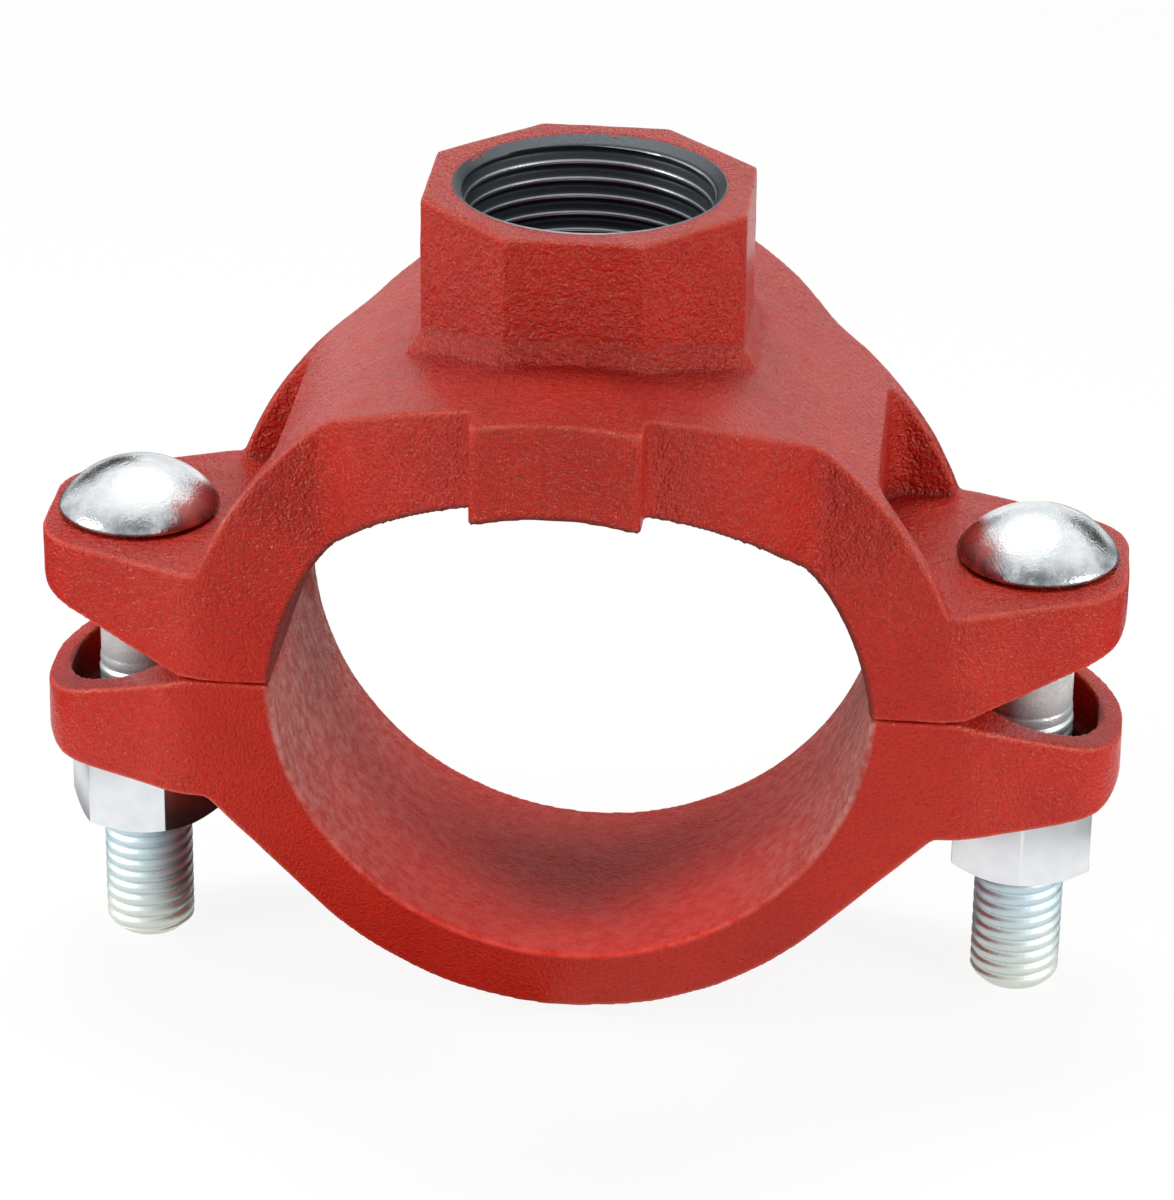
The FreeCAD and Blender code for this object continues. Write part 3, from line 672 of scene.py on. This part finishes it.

# %% [markdown]
# ## Zinc plate
#
# Zinc is a bright, bluish metal whose polish clouds as it ages. Metallic stays at 1 on the heads
# and shanks, and the roughness wanders, which spreads the reflections in patches. The forged
# heads are cloudier and slightly pitted, and painted darker round the rim as a painted dark
# reflection. The necks between the halves are chalkier, so part of their light is plain white.
# Below the nuts the rolled shanks are matter and bluer, with a yellow tinge of chromate towards
# the foot. The nuts are paler and more even.

# %% Plate the bolts and the nuts
def bolt_plate():
    material, shader, place = start_finish("bolt_zinc")
    clouds = place.noise(2.6 * MM, detail=4.0, roughness=0.6)
    fine = place.noise(0.35 * MM, detail=2.0)
    worn = clouds.ramp(0.38, 0.64)
    x, y, z = place.axes()
    beside = x.maths("ABSOLUTE", x, 0) - bolt_axis
    from_bolt = beside.maths("SQRT", beside * beside + y * y, 0)
    rim = from_bolt.ramp(head_radius * 0.78, head_radius * 0.97) * z.ramp(seat - 1 * MM, seat)
    shank = z.ramp(0, -8 * MM)
    neck = z.ramp(seat - 1 * MM, seat - 2 * MM) * (1 - shank)
    foot = z.ramp(cad_box[0].z + 14 * MM, cad_box[0].z)
    forged = worn.mix((0.86, 0.89, 0.90, 1), (0.66, 0.70, 0.73, 1))
    # the head's rim is painted darker, a painted dark reflection of the floor and the shaded parts
    # round it
    forged = (rim * (0.45 + worn * 0.5)).mix(forged, (0.16, 0.18, 0.20, 1))
    rolled = foot.mix((0.58, 0.70, 0.75, 1), (0.66, 0.69, 0.62, 1))
    set_shader(shader, {
        "Base Color": shank.mix(forged, rolled),
        "Metallic": 1.0 - neck * 0.65,
        "Roughness": 0.19 + worn * 0.12 + shank * 0.30,
        "Normal": (fine * 0.3 + clouds * 0.7).bump(0.14 * MM),
    })
    return material


def nut_plate():
    material, shader, place = start_finish("nut_zinc")
    clouds = place.noise(3 * MM, detail=3.0)
    set_shader(shader, {
        "Base Color": clouds.ramp(0.35, 0.65).mix((0.88, 0.90, 0.92, 1), (0.81, 0.84, 0.87, 1)),
        "Metallic": 1.0,
        "Roughness": 0.30 + clouds * 0.12,
        "Normal": clouds.bump(0.04 * MM),
    })
    return material


bolt_zinc = bolt_plate()
nut_zinc = nut_plate()
for bolt in bolts:
    dress(bolt, bolt_zinc)
for nut in nuts:
    dress(nut, nut_zinc)

# %% [markdown]
# ## Tapped iron
#
# The tapped iron is coloured near black in the roots and pale on the crests, a little lighter at
# the mouth's chamfer than in the roots. How far a point lies from the outlet's axis tells the crest
# from the root, so the mask is a radius worked out from the Object coordinates.

# %% Colour the tapped thread
def tapped_iron():
    material, shader, place = start_finish("tapped_iron")
    flat = place.node("ShaderNodeVectorMath", {"operation": "MULTIPLY"}, {0: place, 1: (1, 1, 0)})
    radius = flat.node("ShaderNodeVectorMath", {"operation": "LENGTH"}, {0: flat}, output="Value")
    height = place.node("ShaderNodeSeparateXYZ", None, {0: place}, output="Z")
    taper = height.ramp(boss_top - full_tooth_depth, boss_top) * ((1 - mouth_tooth) * 1.35 * MM)
    crest = (radius - taper).ramp(15.33 * MM, 15.2 * MM)
    mouth = height.ramp(boss_top - 1.1 * MM, boss_top - 0.9 * MM)
    bright = crest.maths("MAXIMUM", crest * 0.75, mouth * 0.15)
    tool = place.noise(0.5 * MM, detail=3.0)
    set_shader(shader, {
        "Base Color": bright.mix((0.045, 0.052, 0.060, 1), (0.52, 0.56, 0.60, 1)),
        "Metallic": 0.9,
        "Roughness": 0.40 - bright * 0.12 + tool * 0.1,
        "Normal": tool.bump(0.05 * MM),
    })
    return material


dress(tapped_liner, tapped_iron())

# %% [markdown]
# ## Moulded rubber
#
# The ring is plain black rubber. It has little to show but a soft, slightly dusty sheen.

# %% Mould the rubber
def moulded_rubber():
    material, shader, place = start_finish("moulded_rubber")
    dust = place.noise(3 * MM, detail=4.0)
    set_shader(shader, {
        "Base Color": dust.ramp(0.35, 0.75).mix((0.012, 0.012, 0.013, 1), (0.035, 0.034, 0.034, 1)),
        "Roughness": 0.55 + dust * 0.2,
        "Normal": place.noise(0.6 * MM).bump(0.03 * MM),
    })
    return material


dress(sealing_ring, moulded_rubber())

# %% [markdown]
# ## The studio
#
# The tee stands on a pale floor in soft light. Zinc shows whatever is round it, so the light comes
# from a few large soft boxes, and the sky is white for reflections but dimmer as a light, which
# a Light Path node can tell apart. Dark cards between the boxes give the metal its contrast.

# %% Lay the floor and hang the sky
def seen_directly(tree):
    """1 for rays from the camera, a mirror or glass, and 0 for rays that only carry light."""
    path = tree.nodes.new("ShaderNodeLightPath")
    rays = [Wire(tree, path.outputs[name]) for name in
            ("Is Camera Ray", "Is Glossy Ray", "Is Transmission Ray")]
    return rays[0].maths("MAXIMUM", rays[0].maths("MAXIMUM", rays[0], rays[1]), rays[2])


def pale_floor():
    material = bpy.data.materials.new("pale_floor")
    material.use_nodes = True
    tree = material.node_tree
    tree.nodes.clear()
    seen = seen_directly(tree)
    paper = seen.node("ShaderNodeBsdfDiffuse", None, {"Color": (0.9, 0.9, 0.9, 1)})
    glow = seen.node("ShaderNodeEmission", None, {"Color": (1, 1, 1, 1), "Strength": 1.0})
    both = seen.node("ShaderNodeMixShader", None, {0: seen * 0.9, 1: paper, 2: glow})
    end = tree.nodes.new("ShaderNodeOutputMaterial")
    tree.links.new(both.socket, end.inputs["Surface"])
    return material


bm = bmesh.new()
bmesh.ops.create_grid(bm, x_segments=1, y_segments=1, size=3)
bmesh.ops.translate(bm, verts=bm.verts, vec=(0, 0, cad_box[0].z - 0.1 * MM))
floor = finished_piece(bm, "floor")
dress(floor, pale_floor())

world = bpy.data.worlds.new("white_sky")
bpy.context.scene.world = world
world.use_nodes = True
sky = world.node_tree.nodes["Background"]
seen = seen_directly(world.node_tree)
world.node_tree.links.new((0.25 + seen * 0.75).socket, sky.inputs["Strength"])
sky.inputs["Color"].default_value = (1, 1, 1, 1)

# %% [markdown]
# A large box high up and slightly behind lights the top faces. A small box on each side, a little
# to the front, lights the ends of the wings, the nuts and the domes. All three are slightly warm.

# %% Hang the soft boxes
def facing(place, target):
    return (Vector(target) - Vector(place)).to_track_quat("-Z", "Y").to_euler()


def soft_box(name, place, target, width, height, power):
    light = bpy.data.objects.new(name, bpy.data.lights.new(name, "AREA"))
    light.data.shape = "RECTANGLE"
    light.data.size = width
    light.data.size_y = height
    light.data.energy = power
    light.data.color = (1.0, 0.97, 0.93)
    light.location = place
    light.rotation_euler = facing(place, target)
    bpy.context.scene.collection.objects.link(light)


soft_box("top_box", (-0.05, 0.22, 0.75), (0, 0, 0), 0.40, 0.24, 4.4)
soft_box("left_box", (-0.42, -0.17, 0.13), (0, 0, 0), 0.15, 0.13, 1.5)
soft_box("right_box", (0.42, -0.17, 0.11), (0, 0, 0), 0.15, 0.13, 1.25)

# %% [markdown]
# A studio holds black cards beside shiny metal, because a mirror in an all-white tent has no
# shape. These cards are seen by reflections alone: they cast no shadow and take no light away.

# %% Place the black cards
card_level = cad_box[0].z + 1 * MM


def black_card(name, place, target, width, height):
    bm = bmesh.new()
    bmesh.ops.create_grid(bm, x_segments=1, y_segments=1, size=0.5)
    bmesh.ops.scale(bm, verts=bm.verts, vec=(width, height, 1))
    bmesh.ops.rotate(bm, verts=bm.verts, cent=(0, 0, 0), matrix=facing(place, target).to_matrix())
    bmesh.ops.translate(bm, verts=bm.verts, vec=place)
    card = finished_piece(bm, name)
    material, shader, _ = start_finish(name)
    set_shader(shader, {"Base Color": (0, 0, 0, 1), "Specular IOR Level": 0.0})
    dress(card, material)
    for ray in ("camera", "diffuse", "shadow", "transmission", "volume_scatter"):
        setattr(card, f"visible_{ray}", False)


def floor_card(name, x, y, width, depth):
    black_card(name, (x, y, card_level), (x, y, 1), width, depth)


floor_card("under_card", -0.026, -0.06, 0.048, 0.20)
floor_card("front_card", 0, -0.33, 0.26, 0.34)
floor_card("back_card", 0, 0.09, 0.07, 0.08)
for side in (-1, 1):
    floor_card("side_card", side * 0.29, -0.03, 0.36, 0.26)
    floor_card("rear_card", side * 0.165, 0.21, 0.20, 0.21)
    floor_card("outer_bolt_card", side * 0.076, 0.02, 0.022, 0.034)
    floor_card("inner_bolt_card", side * 0.036, 0.02, 0.028, 0.034)
black_card("high_card", (0, -0.50, 0.62), (0, 0, 0), 0.50, 0.14)
black_card("left_card", (-0.38, 0.58, 0.20), (0, 0, 0), 0.40, 0.34)
black_card("right_card", (0.42, 0.54, 0.26), (0, 0, 0), 0.36, 0.34)
bpy.context.scene.view_settings.view_transform = "Standard"
